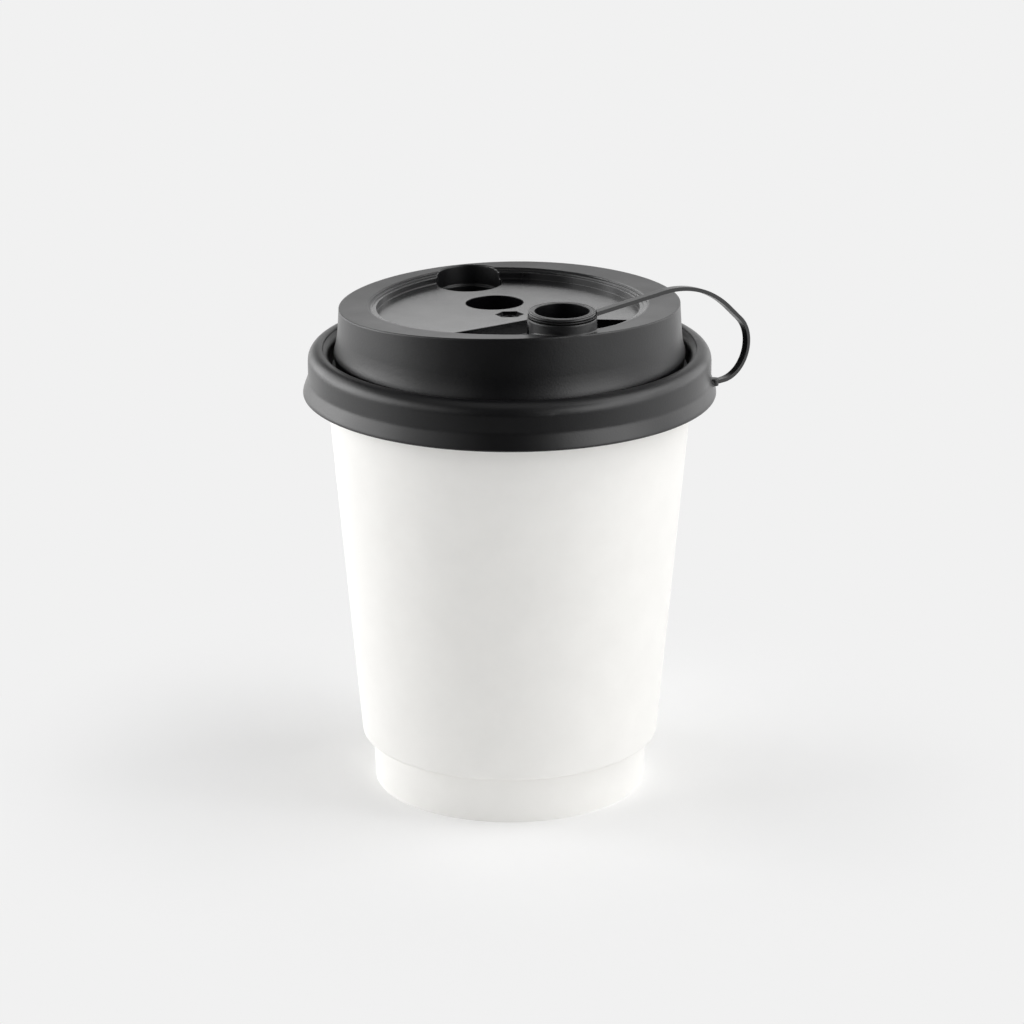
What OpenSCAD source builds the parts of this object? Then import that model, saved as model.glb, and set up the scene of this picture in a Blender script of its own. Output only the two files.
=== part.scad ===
// Double-wall paper cup with a press-on moulded lid, a tethered plug and a raised drinking spout.
// Units are millimetres. The origin is the middle of the foot on the table and Z points up.
// Minus Y looks at the viewer of the photograph and plus X is to the viewer's right.

/* [Cup] */
// Height of the cup to the top of its rolled rim
cup_h = 92; // [86:1:110]
// Outer radius of the foot at the table
foot_r = 28; // [26.5:0.5:29]
// Outer radius of the rolled rim
rim_r = 40; // [39.5:0.25:41]
// Radius of the rim's roll
roll_r = 1.5; // [1.3:0.1:1.7]
// Thickness of the inner cup's board
wall_t = 0.4; // [0.3:0.05:0.5]
// Height of the straight band at the foot
band_h = 9.5; // [8.5:0.5:10]
// How much wider the band is at its top
band_flare = 0.5; // [0.3:0.1:0.7]
// Height of the drinking floor above the table
floor_z = 7; // [6:0.25:8]
// Thickness of the floor's board
floor_t = 0.4; // [0.3:0.05:0.5]
// Height of the wall's fold inside the foot
fold_h = 5.2; // [3.5:0.1:5.4]
// Glue film between two layers of board
glue_gap = 0.03; // [0.02:0.01:0.05]
// Width of the lap of a side seam, as an angle
seam_angle = 9; // [6:0.5:14]

/* [Outer sleeve] */
// Thickness of the sleeve's board
sleeve_t = 0.35; // [0.25:0.05:0.45]
// How far the sleeve stands out from the cup's wall above its rolled lip
sleeve_out = 2.05; // [1.8:0.05:2.3]
// Height of the underside of the rolled lip
lip_z = 10; // [10:0.5:13]
// Distance from the rim's top down to the sleeve's top edge
sleeve_drop = 3.1; // [3:0.2:5]

/* [Lid skirt] */
// Wall thickness of the lid
lid_t = 0.9; // [0.8:0.05:1]
// Distance from the rim's top down to the skirt's edge
skirt_drop = 8.3; // [7.6:0.1:9.5]
// How far the skirt's edge stands out past the rim
skirt_out = 2.05; // [1.85:0.05:2.3]
// Distance from the rim's top down to the skirt's neck
neck_drop = 4.8; // [4.4:0.1:5.2]
// Clearance between the rolled rim and the roof over it
rim_gap = 0.1; // [0.04:0.02:0.16]
// Clearance of the snap bead past the rim
snap_gap = 0.06; // [0.04:0.01:0.08]
// Clearance between the lid's seal and the inside of the cup
seal_gap = 0.1; // [0.06:0.02:0.2]
// Depth of the groove round the dome, from the rim's top
groove_drop = 3.4; // [2.5:0.1:4]
// Height of the small step on the inner side of the shoulder
step_h = 0.45; // [0.3:0.05:0.5]

/* [Lid dome] */
// How far the dome's upper edge stands in from the rim
dome_in = 5.45; // [5.35:0.05:5.6]
// How far the dome's foot stands out past its upper edge
dome_foot = 1.2; // [1.1:0.05:1.3]
// Height of the lowest line of the curved top above the rim
top_low = 9.15; // [8.6:0.05:9.8]
// Distance of that lowest line behind the lid's axis
low_at = 24; // [18:0.5:28]
// Radius of the curve of the top, which rises towards the spout
top_bend = 533; // [480:1:640]
// Slope of the top across the lid, up towards the tether, in degrees
lean = 1; // [0:0.1:2]
// Thickness of the top ring and of the deck
plate_t = 1; // [0.8:0.05:1.2]
// Width of the ring in front and behind
ring_w = 3.45; // [3.4:0.05:4]
// Width of the ring at its two sides
side_w = 6.6; // [6:0.05:6.8]
// Depth of the deck below the ring
deck_drop = 2; // [1.7:0.1:2.3]
// Depth of each of the two ledges below the ring
ledge_drop = 0.28; // [0.2:0.02:0.36]
// Width of each of the two ledges
ledge_w = 0.8; // [0.5:0.05:1]

/* [Deck features] */
// Radius of the socket that stores the plug
store_r = 6.75; // [6.5:0.05:6.85]
// Distance of the plug store's middle from the dome's upper edge
store_in = 7.4; // [7.4:0.05:8]
// Direction of the plug store in degrees
store_turn = 108; // [104:1:112]
// Height of the plug store's floor above the rim
store_z = 1.6; // [1.2:0.1:2.4]
// Radius of the thumb socket
thumb_r = 5.95; // [5.6:0.05:6.1]
// Place of the thumb socket across the lid
thumb_x = -3.1; // [-3.6:0.1:-2.6]
// Place of the thumb socket along the lid
thumb_y = 9.6; // [9.3:0.1:9.9]
// Height of the thumb socket's floor above the rim
thumb_z = 2; // [1.4:0.1:3]
// Radius of the vent hole
vent_r = 1.2; // [0.8:0.1:1.4]
// Place of the vent along the lid
vent_y = -0.6; // [-1:0.1:-0.3]
// Depth of the six-sided dish round the vent
vent_dish = 0.6; // [0.4:0.05:0.7]
// Height of the drip well's floor above the rim
well_z = 5.2; // [4.6:0.1:5.8]
// Opening angle of the drip well in degrees
well_angle = 134; // [124:1:140]

/* [Spout and plug] */
// Outer radius of the spout
spout_r = 6.9; // [6.7:0.05:7]
// Radius of the drinking bore
bore_r = 6.05; // [5.8:0.05:6.1]
// Height of the spout's mouth above the rim
mouth_z = 14.35; // [14.2:0.05:15]
// Length of the spout's barrel
barrel_h = 10; // [9:0.25:11]
// Running clearance of the plug in the bore
plug_gap = 0.05; // [0.02:0.01:0.08]
// Length of the plug below its flange
plug_len = 6.2; // [5:0.1:7]
// Wall thickness of the hollow plug
plug_t = 0.55; // [0.45:0.05:0.7]
// Radius of the plug's flange
flange_r = 6.75; // [6.6:0.05:6.9]
// Thickness of the plug's flange
flange_t = 0.95; // [0.8:0.05:1.1]
// Height of the flange above the spout's mouth
flange_gap = 0.2; // [0.15:0.05:0.3]

/* [Tether] */
// Width of the flat tether
tether_w = 1.4; // [1.1:0.1:1.7]
// Thickness of the flat tether
tether_t = 0.8; // [0.6:0.05:1]
// Radius of the tether's upper bend
bend_r = 26; // [22:0.5:27]
// Radius of the tether's lower loop
loop_r = 6.9; // [6.2:0.1:7.2]
// Gap between the tether's ends and the flange and knob that carry them
root_gap = 0.04; // [0.03:0.01:0.06]

/* [Hidden] */
$fn = 96;
paper_white = [0.95, 0.95, 0.94];
board_white = [0.92, 0.92, 0.9];
lid_black = [0.1, 0.1, 0.105];
far = 80;
eps = 0.01;
// rim and wall
roll_x = rim_r - roll_r;
roll_z = cup_h - roll_r;
roll_end = 235;
band_r = foot_r + band_flare;
top_r = roll_x - roll_r + wall_t;
wall_slope = (top_r - band_r) / (roll_z - band_h);
band_slope = band_flare / band_h;
function wall_at(z) = band_r + (z - band_h) * wall_slope;
function band_at(z) = foot_r + z * band_slope;
seam_back = 90;
seam_low = floor_z + 2;
seam_high = cup_h - skirt_drop;
// layers of the foot, from the outside in
flange_out = wall_t + glue_gap;
flange_in = flange_out + floor_t;
fold_out = flange_in + glue_gap;
fold_in = fold_out + wall_t;
fold_z = wall_t + 0.1;
// sleeve
sleeve_top_z = cup_h - sleeve_drop;
sleeve_top_r = wall_at(sleeve_top_z) + glue_gap + sleeve_t;
sleeve_r = wall_at(lip_z + 1) + sleeve_out;
lip_r = sleeve_out / 2 - 2 * glue_gap;
lip_x = sleeve_r - lip_r;
lip_mid = lip_z + lip_r;
lap_low = lip_mid + 0.6;
lap_high = sleeve_top_z - 0.2;
// lid, with heights counted from the rim's top
shoulder_r = roll_r + rim_gap + lid_t;
shoulder_z = -roll_r;
flank_r = shoulder_r - step_h;
step_r = rim_r - 2;
seal_t = rim_gap + lid_t - step_h - seal_gap;
seal_foot = -groove_drop - plate_t + 0.1;
function seal_at(z) = wall_at(cup_h + z) - wall_t - seal_gap;
skirt_edge_r = rim_r + skirt_out;
neck_r = roll_x + shoulder_r;
// the skirt's flare, two arcs of one radius and the slope between them
flare_h = skirt_drop - neck_drop;
flare_w = skirt_edge_r - neck_r;
flare_bend = flare_h / 2;
flare_run = flare_h - flare_w;
flare_angle = atan2(flare_h, flare_run) - acos(flare_h / sqrt(flare_run * flare_run + flare_h * flare_h));
flare_cos = flare_bend * cos(flare_angle);
flare_sin = flare_bend * sin(flare_angle);
snap_r = rim_r + snap_gap;
bead_h = 0.5;
bead_room = 0.3;
dome_r = rim_r - dome_in;
dome_foot_r = dome_r + dome_foot;
dome_mid = 10.5;
dome_slope = 0.06;
waist_z = 4.5;
waist_r = dome_r + (dome_mid - waist_z) * dome_slope;
waist_angle = atan(dome_slope);
foot_bend = 18;
crown_room = 6;
dome_tall = dome_mid + crown_room;
crown_r = dome_r - crown_room * dome_slope;
groove_r = dome_foot_r - 0.55;
mouth_bevel = 0.3;
// oval opening from three arcs
open_long = dome_r - ring_w;
open_short = dome_r - side_w;
side_r = dome_r - 3;
side_shift = side_r - open_short;
oval_x = -0.4;
oval_y = 0.2;
oval_turn = 25;
deck_in = 2 * ledge_w;
tub_wall = 0.9;
// places on the deck
store_at = dome_r - store_in;
store_x = store_at * cos(store_turn);
store_y = store_at * sin(store_turn);
store_step = 4.8;
store_lip = 0.45;
boss_t = 0.7;
vent_dish_r = 2.95;
spout_at = dome_r - spout_r - 0.15;
spout_turn = -68;
spout_x = spout_at * cos(spout_turn);
spout_y = spout_at * sin(spout_turn);
well_turn = -75.5;
well_back = 21.6;
well_reach = 44;
// plug
barrel_r = bore_r - plug_gap;
flange_z = mouth_z + flange_gap;
ring_low = 0.27 * flange_t;
ring_gap = 0.15 * flange_t;
ring_in = 0.3;
root_turn = 2;
root_in = 0.6;
// tether, in its own upright plane
knob_r = 0.95;
knob_out = 0.5;
knob_x = neck_r + knob_out;
knob_y = -2;
knob_z = -6.1;
knob_h = 1.4;
lift_angle = 2.5;
fall_angle = 42;
loop_past = 2.4;
run_over = 0.2;
run_thin = 0.005;
seam_away = 200;
start_x = spout_x + (flange_r - root_in) * cos(root_turn);
start_y = spout_y + (flange_r - root_in) * sin(root_turn);
start_z = mouth_z + tether_t / 2 + 0.1;
tether_turn = atan2(knob_y - start_y, knob_x - start_x);
reach = sqrt((knob_x - start_x) * (knob_x - start_x) + (knob_y - start_y) * (knob_y - start_y));
loop_x = reach + loop_past;
loop_z = knob_z + loop_r;
fall_x = loop_x + loop_r * sin(fall_angle);
fall_z = loop_z + loop_r * cos(fall_angle);
turn_angle = lift_angle + fall_angle;
rise_to_corner = (fall_x * sin(fall_angle) + (fall_z - start_z) * cos(fall_angle)) / sin(turn_angle);
fall_to_corner = (fall_x - rise_to_corner * cos(lift_angle)) / cos(fall_angle);
corner_trim = bend_r * tan(turn_angle / 2);
rise_len = rise_to_corner - corner_trim;
fall_len = fall_to_corner - corner_trim;
bend_x = rise_len * cos(lift_angle) + bend_r * sin(lift_angle);
bend_z = start_z + rise_len * sin(lift_angle) - bend_r * cos(lift_angle);

// board shape of the rolled rim, drawn as an open ring
module rim_roll_2d() {
    difference() {
        translate([roll_x, roll_z]) circle(r = roll_r);
        translate([roll_x, roll_z]) circle(r = roll_r - wall_t);
        translate([roll_x, roll_z])
            polygon([[0, 0], [-3 * roll_r, 0], [-3 * roll_r, -3 * roll_r],
                     [3 * roll_r * cos(roll_end), 3 * roll_r * sin(roll_end)]]);
    }
}

// inner cup: one board blank with a rolled rim, a tapering wall and a foot folded up inside
module cup_wall() {
    color(paper_white) union() {
        rotate_extrude() {
            rim_roll_2d();
            polygon([[band_r, band_h], [top_r, roll_z],
                     [top_r - wall_t, roll_z], [band_r - wall_t, band_h]]);
            polygon([[foot_r, 0], [band_r, band_h], [band_r - wall_t, band_h], [foot_r - wall_t, 0]]);
            polygon([[foot_r - fold_in, 0], [foot_r, 0], [band_at(wall_t), wall_t],
                     [band_at(wall_t) - fold_in, wall_t]]);
            polygon([[foot_r - fold_in, 0], [foot_r - fold_out, 0],
                     [band_at(fold_h) - fold_out, fold_h], [band_at(fold_h) - fold_in, fold_h]]);
        }
        // lap of the side seam, on the inside, ending below the lid's seal
        rotate([0, 0, seam_back]) rotate_extrude(angle = seam_angle)
            polygon([[wall_at(seam_low) - 2 * wall_t, seam_low],
                     [wall_at(seam_low) - wall_t / 2, seam_low],
                     [wall_at(seam_high) - wall_t / 2, seam_high],
                     [wall_at(seam_high) - 2 * wall_t, seam_high]]);
    }
}

// floor: a board disc whose edge is turned down between the wall and its fold
module cup_floor() {
    color(board_white) rotate_extrude()
        polygon([[0, floor_z - floor_t], [band_at(floor_z - floor_t) - flange_in, floor_z - floor_t],
                 [band_at(fold_z) - flange_in, fold_z], [band_at(fold_z) - flange_out, fold_z],
                 [band_at(floor_z) - flange_out, floor_z], [0, floor_z]]);
}

// outer sleeve: a second tapering wall whose lower edge is rolled in against the cup
module outer_sleeve() {
    color(paper_white) union() {
        rotate_extrude() {
            polygon([[sleeve_r - sleeve_t, lip_mid], [sleeve_r, lip_mid],
                     [sleeve_top_r, sleeve_top_z], [sleeve_top_r - sleeve_t, sleeve_top_z]]);
            difference() {
                translate([lip_x, lip_mid]) circle(r = lip_r);
                translate([lip_x, lip_mid]) circle(r = lip_r - sleeve_t);
                translate([lip_x - 2 * lip_r, lip_mid]) square([4 * lip_r, 2 * lip_r]);
            }
        }
        // lap of the side seam, at the back
        rotate([0, 0, seam_back]) rotate_extrude(angle = seam_angle)
            polygon([[sleeve_r - sleeve_t / 2, lap_low], [sleeve_r + sleeve_t, lap_low],
                     [sleeve_top_r + sleeve_t, lap_high], [sleeve_top_r - sleeve_t / 2, lap_high]]);
    }
}

// opening inside the ring, taken in by a stated width
module oval(inset) {
    translate([oval_x, oval_y]) rotate(oval_turn) intersection() {
        circle(r = open_long - inset);
        translate([side_shift, 0]) circle(r = side_r - inset);
        translate([-side_shift, 0]) circle(r = side_r - inset);
    }
}

// sector of the drip well, with its corner behind the spout
module well_2d(grow) {
    translate([spout_x, spout_y]) rotate(well_turn) translate([-well_back - grow, 0])
        polygon([[0, 0], [well_reach, -well_reach * tan(well_angle / 2)],
                 [well_reach, well_reach * tan(well_angle / 2)]]);
}

// space above the curved top, lowered by a stated depth
module bowl(drop) {
    rotate([0, -lean, 0]) translate([0, low_at, top_low + top_bend]) rotate([0, 90, 0])
        cylinder(h = 2 * far, r = top_bend + drop, center = true, $fn = 720);
}

// prism over its 2D child, from the curved top lowered by a stated depth
module sunk(drop) {
    intersection() {
        linear_extrude(height = dome_tall) children();
        bowl(drop);
    }
}

// section of the skirt, the roof over the rim and the seal inside the cup
module skirt_2d() {
    difference() {
        union() {
            intersection() {
                translate([roll_x, shoulder_z]) circle(r = shoulder_r);
                translate([step_r, shoulder_z]) square(2 * shoulder_r);
            }
            intersection() {
                translate([roll_x, shoulder_z]) circle(r = flank_r);
                translate([roll_x - flank_r, shoulder_z]) square([2 * flank_r, flank_r]);
            }
            intersection() {
                translate([skirt_edge_r - flare_bend, -skirt_drop]) circle(r = flare_bend);
                translate([snap_r, -skirt_drop]) square(flare_h);
            }
            polygon([[snap_r, -skirt_drop], [skirt_edge_r - flare_bend, -skirt_drop],
                     [skirt_edge_r - flare_bend + flare_cos, -skirt_drop + flare_sin],
                     [neck_r + flare_bend - flare_cos, -neck_drop - flare_sin],
                     [neck_r, -neck_drop], [neck_r, shoulder_z + eps], [snap_r, shoulder_z + eps]]);
            polygon([[seal_at(seal_foot) - seal_t, seal_foot], [seal_at(seal_foot), seal_foot],
                     [seal_at(shoulder_z), shoulder_z + eps], [roll_x - flank_r, shoulder_z + eps]]);
        }
        // hollow arc at the top of the flare
        translate([neck_r + flare_bend, -neck_drop]) circle(r = flare_bend);
        // room for the rolled rim
        translate([roll_x, shoulder_z]) circle(r = roll_r + rim_gap);
        polygon([[seal_at(-skirt_drop - 1), -skirt_drop - 1], [seal_at(shoulder_z), shoulder_z],
                 [rim_r + rim_gap, shoulder_z], [rim_r + bead_room, -neck_drop + 4 * bead_h],
                 [snap_r, -neck_drop + bead_h],
                 [snap_r, -neck_drop - bead_h], [skirt_edge_r - lid_t, -skirt_drop],
                 [skirt_edge_r - lid_t, -skirt_drop - 1]]);
    }
}

// outline of the dome, solid to the axis: the groove's wall, a hollow curve and a leaning wall
module dome_2d() {
    difference() {
        polygon([[0, seal_foot], [groove_r, seal_foot], [groove_r, -groove_drop], [dome_foot_r, 0],
                 [dome_foot_r, waist_z], [waist_r, waist_z], [crown_r, dome_tall], [0, dome_tall]]);
        translate([waist_r + foot_bend * cos(waist_angle), waist_z + foot_bend * sin(waist_angle)])
            circle(r = foot_bend);
    }
}

// outline of the hollow inside the dome
module cavity_2d() {
    polygon([[0, seal_foot - 1], [groove_r - lid_t, seal_foot - 1], [groove_r - lid_t, -groove_drop],
             [dome_foot_r - lid_t, 0], [waist_r - lid_t, waist_z], [crown_r - lid_t, dome_tall],
             [0, dome_tall]]);
}

// floor of the groove, joining the dome to the seal
module groove_floor_2d() {
    polygon([[groove_r - lid_t, seal_foot], [seal_at(seal_foot) - eps, seal_foot],
             [seal_at(-groove_drop) - eps, -groove_drop], [groove_r - lid_t, -groove_drop]]);
}

// everything that hangs under the ring: deck, well, sockets and spout barrel
module tub() {
    sunk(deck_drop + plate_t) oval(deck_in - tub_wall);
    translate([0, 0, well_z - plate_t]) linear_extrude(height = dome_tall) intersection() {
        oval(deck_in - tub_wall);
        well_2d(tub_wall);
    }
    translate([store_x, store_y, store_z - plate_t]) cylinder(h = dome_tall, r = store_r + boss_t);
    translate([thumb_x, thumb_y, thumb_z - plate_t]) cylinder(h = dome_tall, r = thumb_r + boss_t);
    translate([spout_x, spout_y, mouth_z - barrel_h]) cylinder(h = dome_tall, r = spout_r);
}

// the dome, hollow under its curved top
module dome_shell() {
    difference() {
        rotate_extrude() dome_2d();
        bowl(0);
        difference() {
            rotate_extrude() cavity_2d();
            bowl(plate_t);
            tub();
        }
    }
}

// what is cut into the lid from above
module top_cuts() {
    sunk(ledge_drop) oval(0);
    sunk(2 * ledge_drop) oval(ledge_w);
    sunk(deck_drop) oval(deck_in);
    translate([0, 0, well_z]) linear_extrude(height = dome_tall) intersection() {
        oval(deck_in);
        well_2d(0);
    }
    translate([store_x, store_y, 0]) {
        translate([0, 0, store_step]) cylinder(h = dome_tall, r = store_r);
        translate([0, 0, store_z]) cylinder(h = store_step, r = store_r - store_lip);
    }
    translate([thumb_x, thumb_y, thumb_z]) cylinder(h = dome_tall, r = thumb_r);
    sunk(deck_drop + vent_dish) translate([0, vent_y])
        polygon([for (k = [0:5]) [vent_dish_r * cos(60 * k), vent_dish_r * sin(60 * k)]]);
    translate([0, vent_y, 0]) cylinder(h = dome_tall, r = vent_r);
}

// lid: one thin moulding that presses on over the rim
module lid() {
    color(lid_black) translate([0, 0, cup_h]) difference() {
        union() {
            rotate_extrude() {
                skirt_2d();
                groove_floor_2d();
            }
            difference() {
                dome_shell();
                top_cuts();
            }
            translate([spout_x, spout_y, mouth_z - barrel_h]) cylinder(h = barrel_h, r = spout_r);
            // knob that carries the tether
            translate([knob_x, knob_y, knob_z - knob_h / 2]) cylinder(h = knob_h, r = knob_r);
        }
        translate([spout_x, spout_y, 0]) {
            cylinder(h = 2 * mouth_z, r = bore_r);
            translate([0, 0, mouth_z - mouth_bevel])
                cylinder(h = mouth_bevel, r1 = bore_r, r2 = bore_r + mouth_bevel);
        }
    }
}

// plug: a hollow stopper with a ribbed flange
module plug() {
    color(lid_black) translate([spout_x, spout_y, cup_h + flange_z]) difference() {
        union() {
            translate([0, 0, -plug_len]) cylinder(h = plug_len, r = barrel_r);
            cylinder(h = ring_low, r = flange_r);
            cylinder(h = ring_low + ring_gap, r = flange_r - ring_in);
            translate([0, 0, ring_low + ring_gap])
                cylinder(h = flange_t - ring_low - ring_gap, r = flange_r - ring_in / 2);
        }
        translate([0, 0, plug_t - plug_len]) cylinder(h = plug_len + flange_t, r = barrel_r - plug_t);
    }
}

// a curved run of the tether, drawn between two directions
module tether_arc(x, z, r, from, mid, to) {
    translate([x, z]) intersection() {
        difference() {
            circle(r = r + tether_t / 2);
            circle(r = r - tether_t / 2);
        }
        polygon([[0, 0], [3 * r * cos(from), 3 * r * sin(from)], [3 * r * cos(mid), 3 * r * sin(mid)],
                 [3 * r * cos(to), 3 * r * sin(to)]]);
    }
}

// a straight run of the tether, a little long and thin so that it fuses with the bends
module tether_run(x, z, turn, len) {
    translate([x, z]) rotate(turn) translate([-run_over, run_thin - tether_t / 2])
        square([len + 2 * run_over, tether_t - 2 * run_thin]);
}

// side view of the tether: a rise from the plug, a wide bend, a short fall and a loop back to the skirt
module tether_2d() {
    tether_run(0, start_z, lift_angle, rise_len);
    tether_arc(bend_x, bend_z, bend_r, 90 + lift_angle, 90 - fall_angle / 2, 90 - fall_angle);
    tether_run(fall_x, fall_z, 180 - fall_angle, fall_len);
    tether_arc(loop_x, loop_z, loop_r, 90 - fall_angle, -fall_angle / 2, -90);
    tether_run(reach, knob_z, 0, loop_past);
}

// tether: flat strap from the plug's flange over the ring and round to the skirt
module tether() {
    color(lid_black) translate([0, 0, cup_h]) difference() {
        translate([start_x, start_y, 0]) rotate([0, 0, tether_turn]) rotate([90, 0, 0])
            translate([0, 0, -tether_w / 2]) linear_extrude(height = tether_w) tether_2d();
        translate([spout_x, spout_y, 0]) rotate([0, 0, seam_away])
            cylinder(h = 2 * mouth_z, r = flange_r + root_gap);
        translate([knob_x, knob_y, knob_z - knob_h]) rotate([0, 0, seam_away])
            cylinder(h = 2 * knob_h, r = knob_r + root_gap);
    }
}

cup_wall();
cup_floor();
outer_sleeve();
lid();
tether();
plug();
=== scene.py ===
# %% [markdown]
# # A paper coffee cup with a black press-on lid
# The cup is two board walls and a board floor, and the lid is one black plastic moulding whose plug hangs on
# a strap. Their shapes come from the imported CAD model. This lesson gives them their board and their plastic,
# adds the small relief that a lid's mould leaves, puts a copy of the strap in place of its CAD node, and sets
# up the studio and the camera of the photograph.

# %% Load the imported model
import math

import bmesh
import bpy
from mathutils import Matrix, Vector


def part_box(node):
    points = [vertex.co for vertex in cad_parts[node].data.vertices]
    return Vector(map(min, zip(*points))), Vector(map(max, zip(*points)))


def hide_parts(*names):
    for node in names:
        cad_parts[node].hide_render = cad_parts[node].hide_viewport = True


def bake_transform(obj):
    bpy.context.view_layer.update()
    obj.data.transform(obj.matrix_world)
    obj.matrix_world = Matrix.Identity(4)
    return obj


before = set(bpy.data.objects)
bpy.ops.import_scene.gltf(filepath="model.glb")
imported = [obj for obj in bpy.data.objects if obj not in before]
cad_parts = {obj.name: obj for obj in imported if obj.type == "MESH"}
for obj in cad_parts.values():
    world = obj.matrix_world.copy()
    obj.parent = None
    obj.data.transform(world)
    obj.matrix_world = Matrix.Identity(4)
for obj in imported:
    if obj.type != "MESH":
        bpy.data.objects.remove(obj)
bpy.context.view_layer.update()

MM = 0.001
print("nodes:", sorted(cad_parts))

# %% [markdown]
# ## The camera
# The photograph was taken with a long lens from a little above the lid. A camera could be moved by eye until
# the picture fits, but the foot and the lid's skirt are both circles of known size, so their ellipses give
# the angle and the distance. The camera is turned down by that angle and backed away from a point beside the
# cup's axis.

# %% Camera
LOOK_DOWN = math.radians(18.61)
DISTANCE = 850 * MM
TARGET = Vector((0.48, 0.0, 57.3)) * MM
SENSOR = 36.0
LENS = 145.2

camera_data = bpy.data.cameras.new("Camera")
camera_data.sensor_width = SENSOR
camera_data.lens = LENS
camera = bpy.data.objects.new("Camera", camera_data)
back_off = Vector((0.0, -math.cos(LOOK_DOWN), math.sin(LOOK_DOWN))) * DISTANCE
camera.location = TARGET + back_off
camera.rotation_euler = (math.pi / 2 - LOOK_DOWN, 0.0, 0.0)
bpy.context.scene.collection.objects.link(camera)
bpy.context.scene.camera = camera
bpy.context.scene.view_settings.view_transform = "Standard"
print("camera at", [round(value, 4) for value in camera.location])

# %% [markdown]
# ## Helpers for materials
# Colours are written as the hex codes that a paint program shows, and one function turns them into the
# linear values that Cycles works with. A second adds a node, sets it up and links it in one call, so that a
# material reads from top to bottom like a recipe, and a third starts a material with no nodes in it. The last
# two do sums with nodes: a soft step from one value to another, and a single sum or product.

# %% Colour and node helpers
def linear(hex_code):
    """Turns an sRGB hex code into a linear colour with alpha."""
    parts = [int(hex_code[i:i + 2], 16) / 255 for i in (1, 3, 5)]
    return [c / 12.92 if c <= 0.04045 else ((c + 0.055) / 1.055) ** 2.4 for c in parts] + [1.0]


def add_node(tree, kind, settings=None, **sockets):
    """Adds a node and fills or links each input named: _ stands for a space, and n0 for input 0."""
    node = tree.nodes.new(kind)
    for name, value in (settings or {}).items():
        setattr(node, name, value)
    for name, value in sockets.items():
        key = int(name[1:]) if name[0] == "n" and name[1:].isdigit() else name.replace("_", " ")
        if isinstance(value, bpy.types.NodeSocket):
            tree.links.new(value, node.inputs[key])
        else:
            node.inputs[key].default_value = value
    return node


def new_material(name):
    """Starts an empty node material and returns it with its tree."""
    material = bpy.data.materials.new(name)
    material.use_nodes = True
    material.node_tree.nodes.clear()
    return material, material.node_tree


def ramp(tree, value, start, end, low=0.0, high=1.0):
    """Returns a soft step from low to high as a value goes from start to end."""
    step = add_node(tree, "ShaderNodeMapRange", {"interpolation_type": "SMOOTHSTEP"}, Value=value,
                    From_Min=start, From_Max=end, To_Min=low, To_Max=high)
    return step.outputs["Result"]


def maths(tree, operation, *values):
    """Returns the result of one sum, product or other operation."""
    inputs = {"n" + str(i): value for i, value in enumerate(values)}
    return add_node(tree, "ShaderNodeMath", {"operation": operation}, **inputs).outputs["Value"]


print("a pale grey such as #f1f1f1 is", [round(value, 3) for value in linear("#f1f1f1")[:3]])

# %% [markdown]
# ## The floor
# The photograph has a pale sweep without an edge. A large matt plane could be lit evenly by many lamps, but
# black satin plastic shows what stands around it, so the floor also matters where it is mirrored: the lid's
# sides mirror lit floor, while the middle of its wall is almost black, because the floor in front of the cup
# lies past the lamps. So the floor looks different to each kind of ray. It is matt white near the cup, where
# it takes the soft shadow. Further out the camera sees one even pale tone, and in mirrors the floor glows,
# except in front of the cup.

# %% Floor
FLOOR_TONE = "#fcfcfc"
BACKDROP_TONE = "#f1f1f1"
FLOOR_HALF = 4.0
# distances from the cup's axis between which the matt floor turns into the even tone, in metres
SHADOW_REACH = 0.035
EVEN_FROM = 0.12
# how bright the mirrored floor is, and the places in front of the cup between which it lights up
FLOOR_GLOW = 1.32
LIT_FROM = -0.22
LIT_FULLY = -0.13


def floor_material():
    """Matt white sweep, even far away, and dark a hand's breadth in front of the cup when it is mirrored."""
    material, tree = new_material("matt white studio sweep")
    place = add_node(tree, "ShaderNodeTexCoord").outputs["Object"]
    split = add_node(tree, "ShaderNodeSeparateXYZ", Vector=place)
    reach = add_node(tree, "ShaderNodeVectorMath", {"operation": "LENGTH"}, n0=place).outputs["Value"]
    rays = add_node(tree, "ShaderNodeLightPath")
    matt = add_node(tree, "ShaderNodeBsdfDiffuse", Color=linear(FLOOR_TONE))
    even = add_node(tree, "ShaderNodeEmission", Color=linear(BACKDROP_TONE))
    far = maths(tree, "MULTIPLY", ramp(tree, reach, SHADOW_REACH, EVEN_FROM), rays.outputs["Is Camera Ray"])
    seen = add_node(tree, "ShaderNodeMixShader", n0=far, n1=matt.outputs["BSDF"], n2=even.outputs["Emission"])
    glow = add_node(tree, "ShaderNodeEmission", Color=linear(FLOOR_TONE),
                    Strength=ramp(tree, split.outputs["Y"], LIT_FROM, LIT_FULLY, high=FLOOR_GLOW))
    mixed = add_node(tree, "ShaderNodeMixShader", n0=rays.outputs["Is Glossy Ray"],
                     n1=seen.outputs["Shader"], n2=glow.outputs["Emission"])
    add_node(tree, "ShaderNodeOutputMaterial", Surface=mixed.outputs["Shader"])
    return material


floor_mesh = bpy.data.meshes.new("floor")
sweep = bmesh.new()
bmesh.ops.create_grid(sweep, x_segments=1, y_segments=1, size=FLOOR_HALF)
sweep.to_mesh(floor_mesh)
sweep.free()
floor = bpy.data.objects.new("floor", floor_mesh)
bpy.context.scene.collection.objects.link(floor)
floor.data.materials.append(floor_material())
print("floor is", 2 * FLOOR_HALF, "m wide")

# %% [markdown]
# ## The surroundings
# The world stands in for the studio's walls. Real boards could stand round the cup, but then they would also
# block the lamps, so they are drawn into the world. As fill light it is dim, so that the lamps shape the
# cup. Mirrored in the lid it has what the photograph's own lid shows: the lit lower part of the backdrop,
# which the top throws at the camera, darkness above it, a dim ceiling, and a white board at each side.

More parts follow.
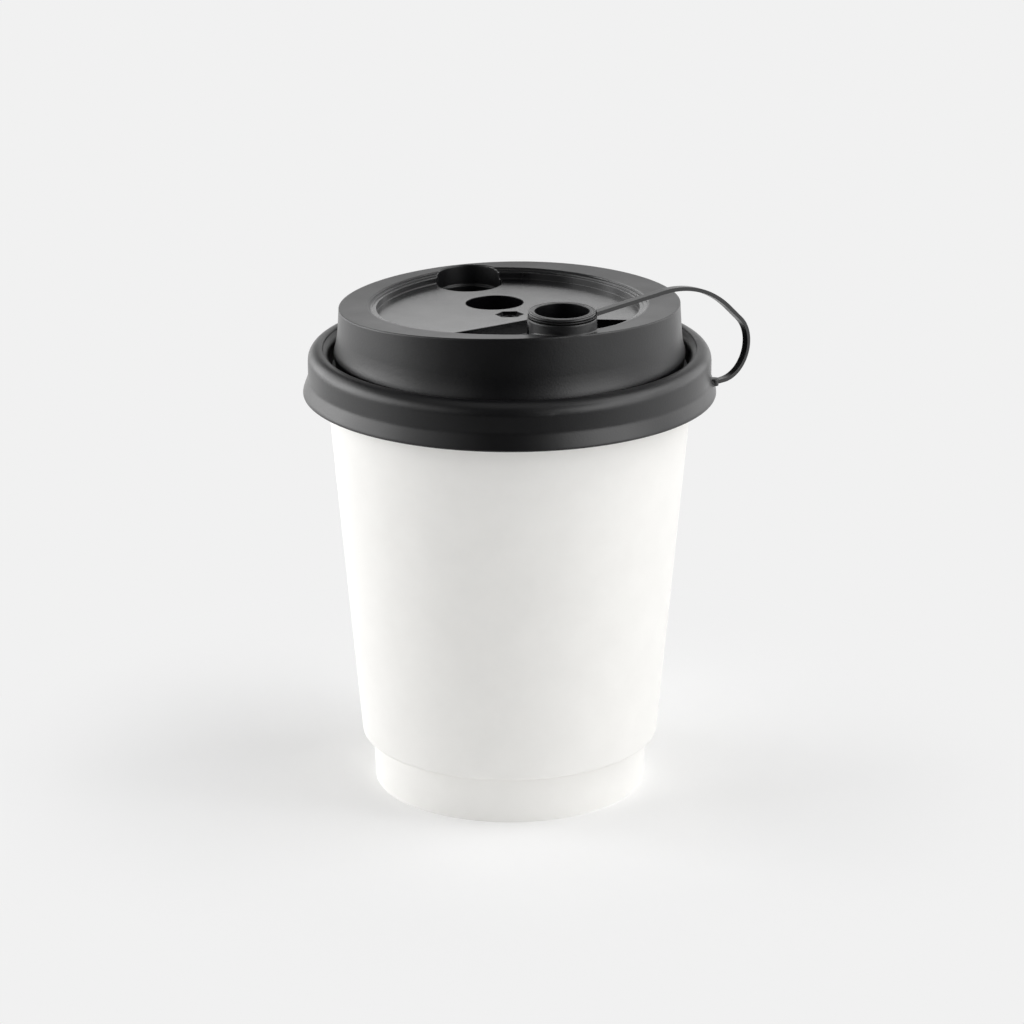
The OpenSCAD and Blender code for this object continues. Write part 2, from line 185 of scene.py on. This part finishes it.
# %% World
SKY_TONE = "#f4f4f4"
FILL = 0.27
CEILING = 0.4
LEFT_BOARD = 1.2
RIGHT_BOARD = 1.8
BACK_STRIP = 1.3
# Where each of them fades in or out, as parts of a direction of length 1: X to the right, Y away and Z up.
BOARD_FROM = 0.42
BOARD_FULLY = 0.58
BOARD_FADES = 0.5
BOARD_TOP = 0.7
STRIP_FROM = 0.1
STRIP_FULLY = 0.3
STRIP_FADES = 0.16
STRIP_TOP = 0.42
CEILING_FROM = 0.78
CEILING_FULLY = 0.92


def build_world():
    """White for the camera, dim as fill, and in mirrors two side boards, a lit strip behind and a ceiling."""
    world = bpy.data.worlds.new("studio")
    world.use_nodes = True
    tree = world.node_tree
    tree.nodes.clear()
    rays = add_node(tree, "ShaderNodeLightPath")
    place = add_node(tree, "ShaderNodeTexCoord")
    look = add_node(tree, "ShaderNodeSeparateXYZ", Vector=place.outputs["Generated"]).outputs
    left = ramp(tree, look["X"], -BOARD_FULLY, -BOARD_FROM, low=LEFT_BOARD, high=0.0)
    right = ramp(tree, look["X"], BOARD_FROM, BOARD_FULLY, high=RIGHT_BOARD)
    below_top = ramp(tree, look["Z"], BOARD_FADES, BOARD_TOP, low=1.0, high=0.0)
    boards = maths(tree, "MULTIPLY", maths(tree, "ADD", left, right), below_top)
    low = ramp(tree, look["Z"], STRIP_FADES, STRIP_TOP, low=1.0, high=0.0)
    strip = maths(tree, "MULTIPLY", low, ramp(tree, look["Y"], STRIP_FROM, STRIP_FULLY, high=BACK_STRIP))
    overhead = ramp(tree, look["Z"], CEILING_FROM, CEILING_FULLY, high=CEILING)
    around = maths(tree, "ADD", maths(tree, "ADD", boards, strip), overhead)
    mirrored = maths(tree, "MULTIPLY", around, rays.outputs["Is Glossy Ray"])
    filled = maths(tree, "MULTIPLY", rays.outputs["Is Diffuse Ray"], FILL)
    strength = maths(tree, "ADD", maths(tree, "ADD", mirrored, filled), rays.outputs["Is Camera Ray"])
    sky = add_node(tree, "ShaderNodeBackground", Color=linear(SKY_TONE), Strength=strength)
    add_node(tree, "ShaderNodeOutputWorld", Surface=sky.outputs["Background"])
    bpy.context.scene.world = world


build_world()
print("fill light is", FILL, "and the boards beside the cup are", LEFT_BOARD, "and", RIGHT_BOARD)

# %% [markdown]
# ## The lamps
# One big lamp overhead would light the paper evenly. In the photograph it is darkest down its middle, so
# each side of the cup has two softboxes and the back has a wide one. Each line gives a lamp's place in
# metres, its width and height, and its power. All of them are aimed at the cup.

# %% Lamps
CUP_MIDDLE = Vector((0.0, 0.0, 0.06))
SOFTBOXES = {
    "left softbox": ((-0.9, 0.0, 0.32), 0.8, 0.6, 5.1),
    "left rear softbox": ((-0.8, 0.5, 0.36), 0.8, 0.7, 2.8),
    "right front softbox": ((0.8, -0.5, 0.36), 0.8, 0.7, 3.8),
    "right high softbox": ((0.8, 0.0, 0.9), 0.8, 0.7, 5.2),
    "back softbox": ((0.4, 1.2, 0.75), 1.6, 0.6, 2.4),
}
for name, (place, width, height, power) in SOFTBOXES.items():
    lamp = bpy.data.lights.new(name, "AREA")
    lamp.shape = "RECTANGLE"
    lamp.size = width
    lamp.size_y = height
    lamp.energy = power
    box = bpy.data.objects.new(name, lamp)
    box.location = place
    box.rotation_euler = (CUP_MIDDLE - Vector(place)).to_track_quat("-Z", "Y").to_euler()
    bpy.context.scene.collection.objects.link(box)
print("lamps give", round(sum(softbox[3] for softbox in SOFTBOXES.values()), 1), "W in all")

# %% [markdown]
# ## The board
# Cups are made of bleached board with a thin plastic film inside. Its uncoated face is matt, a little warm,
# and shows short fibres and a faint cloudiness where the pulp is thicker. One flat white would look like
# plaster, and a picture of paper would need fitting round the taper, so the board is drawn with two noises.
# Fibres about 0.5 mm wide, drawn coarser than real ones so that they show, are a noise stretched upwards and
# felt as bump. The cloudiness is a slow change of colour about 7 mm across.

# %% Board materials
FIBRE = 0.5 * MM
FIBRE_SQUEEZE = (1.0, 1.0, 0.45)
FIBRE_DEPTH = 0.05 * MM
CLOUD = 7 * MM
ROUGHNESS_SWAY = 0.06
BOARD_IOR = 1.48


def board_material(name, tone, shadow_tone, roughness, relief):
    """Bleached cup board. Noise scales are one over the size of what they draw."""
    material, tree = new_material(name)
    place = add_node(tree, "ShaderNodeTexCoord").outputs["Object"]
    lie = add_node(tree, "ShaderNodeMapping", Vector=place, Scale=FIBRE_SQUEEZE)
    fibres = add_node(tree, "ShaderNodeTexNoise", Vector=lie.outputs["Vector"], Scale=1 / FIBRE, Detail=4.0,
                      Roughness=0.65)
    clouds = add_node(tree, "ShaderNodeTexNoise", Vector=place, Scale=1 / CLOUD, Detail=3.0, Roughness=0.6)
    tint = add_node(tree, "ShaderNodeMix", {"data_type": "RGBA"}, Factor=clouds.outputs["Fac"],
                    n6=linear(shadow_tone), n7=linear(tone))
    rough = add_node(tree, "ShaderNodeMapRange", Value=fibres.outputs["Fac"],
                     To_Min=roughness - ROUGHNESS_SWAY, To_Max=roughness + ROUGHNESS_SWAY)
    bump = add_node(tree, "ShaderNodeBump", Strength=relief, Distance=FIBRE_DEPTH,
                    Height=fibres.outputs["Fac"])
    board = add_node(tree, "ShaderNodeBsdfPrincipled", Base_Color=tint.outputs[2], IOR=BOARD_IOR,
                     Roughness=rough.outputs["Result"], Normal=bump.outputs["Normal"])
    add_node(tree, "ShaderNodeOutputMaterial", Surface=board.outputs["BSDF"])
    return material


sleeve_board = board_material("uncoated bleached board", "#f7f6f3", "#f0efec", roughness=0.62, relief=0.35)
cup_board = board_material("film lined bleached board", "#f7f6f3", "#f1f0ed", roughness=0.48, relief=0.2)
floor_board = board_material("film lined floor board", "#f3f2ee", "#ecebe7", roughness=0.48, relief=0.2)
print("board materials:", sleeve_board.name, "/", cup_board.name, "/", floor_board.name)

# %% [markdown]
# ## The plastic
# The lid is injection moulded in black polypropylene. The outer faces come off an eroded mould and are satin
# with a fine grain, and the deck inside the ring comes off a smoother insert and mirrors more. One material
# holds both, with a mask from the distance to the lid's axis. A mould has no sharp edges either. Rounding
# them in the mesh would change the CAD part, so a Bevel node bends the light round each edge, and the edge
# catches a fine bright line, as a small radius would. The deck's small steps get a smaller radius than the
# outer edges. The plug's flange also has fine rings to grip, which are bump made from a sine wave.

# %% Distances and rings
PLUG_LOW, PLUG_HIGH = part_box("plug")
PLUG_MIDDLE = Vector(((PLUG_LOW.x + PLUG_HIGH.x) / 2, (PLUG_LOW.y + PLUG_HIGH.y) / 2, 0.0))
FLANGE_DEPTH = 1.0 * MM
FLANGE_FOOT = PLUG_HIGH.z - FLANGE_DEPTH
FLANGE_FROM = 5.7 * MM
RING_FADE = 0.1 * MM
FOOT_FADE = 0.05 * MM
RING_PITCH = 0.55 * MM
RING_HEIGHT = 0.12 * MM
RING_STRENGTH = 0.8


def flat_reach(tree, vector):
    """Returns the distance from the upright axis through the vector's origin."""
    split = add_node(tree, "ShaderNodeSeparateXYZ", Vector=vector)
    flat = add_node(tree, "ShaderNodeCombineXYZ", X=split.outputs["X"], Y=split.outputs["Y"])
    length = add_node(tree, "ShaderNodeVectorMath", {"operation": "LENGTH"}, n0=flat.outputs["Vector"])
    return length.outputs["Value"]


def flange_rings(tree, vector, normal):
    """Adds fine rings to a normal on the plug's flange: round its top face, and level ones down its side."""
    centred = add_node(tree, "ShaderNodeMapping", Vector=vector, Location=-PLUG_MIDDLE)
    reach = flat_reach(tree, centred.outputs["Vector"])
    height = add_node(tree, "ShaderNodeSeparateXYZ", Vector=vector).outputs["Z"]
    on_flange = maths(tree, "MULTIPLY", ramp(tree, reach, FLANGE_FROM, FLANGE_FROM + RING_FADE),
                      ramp(tree, height, FLANGE_FOOT, FLANGE_FOOT + FOOT_FADE))
    path = maths(tree, "SUBTRACT", reach, height)
    wave = maths(tree, "SINE", maths(tree, "MULTIPLY", path, 2 * math.pi / RING_PITCH))
    rings = add_node(tree, "ShaderNodeBump", Strength=RING_STRENGTH, Distance=RING_HEIGHT,
                     Height=maths(tree, "MULTIPLY", wave, on_flange), Normal=normal)
    return rings.outputs["Normal"]


print("the plug stands at", [round(value / MM, 2) for value in PLUG_MIDDLE], "mm")

# %% Plastic material
PLASTIC_TONE = "#08080a"
PLASTIC_IOR = 1.49
GRAIN = 0.4 * MM
GRAIN_DEPTH = 0.02 * MM
FLOW = 9 * MM
FLOW_SWAY = 0.05
DECK_REACH = 28.4 * MM
DECK_FADE = 0.6 * MM
OUTER_EDGE = 0.55 * MM
DECK_EDGE = 0.2 * MM
STRAP_EDGE = 0.1 * MM
PLUG_EDGE = 0.12 * MM
BEVEL_SAMPLES = 8


def plastic_material(name, satin, polished, relief, outer_edge=OUTER_EDGE, ringed=False):
    """Black polypropylene with eroded satin faces and a smoother deck."""
    material, tree = new_material(name)
    place = add_node(tree, "ShaderNodeTexCoord").outputs["Object"]
    inside = ramp(tree, flat_reach(tree, place), DECK_REACH - DECK_FADE, DECK_REACH, low=1.0, high=0.0)
    grain = add_node(tree, "ShaderNodeTexNoise", Vector=place, Scale=1 / GRAIN, Detail=3.0)
    flow = add_node(tree, "ShaderNodeTexNoise", Vector=place, Scale=1 / FLOW, Detail=2.0)
    base = add_node(tree, "ShaderNodeMapRange", Value=inside, To_Min=satin, To_Max=polished)
    sway = add_node(tree, "ShaderNodeMapRange", Value=flow.outputs["Fac"], To_Min=-FLOW_SWAY,
                    To_Max=FLOW_SWAY)
    rough = maths(tree, "ADD", base.outputs["Result"], sway.outputs["Result"])
    radius = add_node(tree, "ShaderNodeMapRange", Value=inside, To_Min=outer_edge, To_Max=DECK_EDGE)
    edges = add_node(tree, "ShaderNodeBevel", {"samples": BEVEL_SAMPLES}, Radius=radius.outputs["Result"])
    normal = edges.outputs["Normal"]
    if ringed:
        normal = flange_rings(tree, place, normal)
    bump = add_node(tree, "ShaderNodeBump", Strength=relief, Distance=GRAIN_DEPTH,
                    Height=grain.outputs["Fac"], Normal=normal)
    plastic = add_node(tree, "ShaderNodeBsdfPrincipled", Base_Color=linear(PLASTIC_TONE), IOR=PLASTIC_IOR,
                       Roughness=rough, Normal=bump.outputs["Normal"])
    add_node(tree, "ShaderNodeOutputMaterial", Surface=plastic.outputs["BSDF"])
    return material


lid_plastic = plastic_material("black polypropylene, satin moulded", satin=0.39, polished=0.2, relief=1.0)
strap_plastic = plastic_material("black polypropylene, thin strap", satin=0.3, polished=0.3, relief=0.4,
                                 outer_edge=STRAP_EDGE)
plug_plastic = plastic_material("black polypropylene, ribbed flange", satin=0.36, polished=0.3, relief=0.6,
                                outer_edge=PLUG_EDGE, ringed=True)
print("plastic materials:", [plastic.name for plastic in (lid_plastic, strap_plastic, plug_plastic)])

# %% [markdown]
# ## The strap
# The strap is moulded on to the skirt at one end and on to the plug at the other, and it is thin enough to
# bend when the plug is pulled. The CAD node is rigid, and a new strap swept along a curve could miss its two
# roots, so a copy of the node's mesh takes its place and keeps its shape. A CAD mesh is loose triangles, which
# are merged first. Edges that turn sharply stay sharp, while the curves shade smooth.

# %% Strap
SHARP_FROM = math.radians(30)
SAME_POINT = 0.001 * MM

strap_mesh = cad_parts["tether"].data.copy()
merged = bmesh.new()
merged.from_mesh(strap_mesh)
bmesh.ops.remove_doubles(merged, verts=merged.verts, dist=SAME_POINT)
for edge in merged.edges:
    edge.smooth = edge.calc_face_angle(0.0) < SHARP_FROM
for face in merged.faces:
    face.smooth = True
merged.to_mesh(strap_mesh)
merged.free()
strap_mesh.materials.clear()
strap_mesh.materials.append(strap_plastic)
strap = bpy.data.objects.new("strap", strap_mesh)
bpy.context.scene.collection.objects.link(strap)
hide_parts("tether")
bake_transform(strap)
print("strap has", len(strap_mesh.polygons), "faces and bends from the lid to the plug")

# %% [markdown]
# ## The finishes
# The other pieces are shown by their CAD nodes, whose shapes are right as they are. Each node's mesh stays
# untouched and only its material is exchanged.

# %% Put the materials on the CAD nodes
FINISHES = {
    "cup_wall": cup_board,
    "cup_floor": floor_board,
    "outer_sleeve": sleeve_board,
    "lid": lid_plastic,
    "plug": plug_plastic,
}
for node_name, finish in FINISHES.items():
    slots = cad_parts[node_name].data.materials
    slots.clear()
    slots.append(finish)
    print(node_name, "is", finish.name)
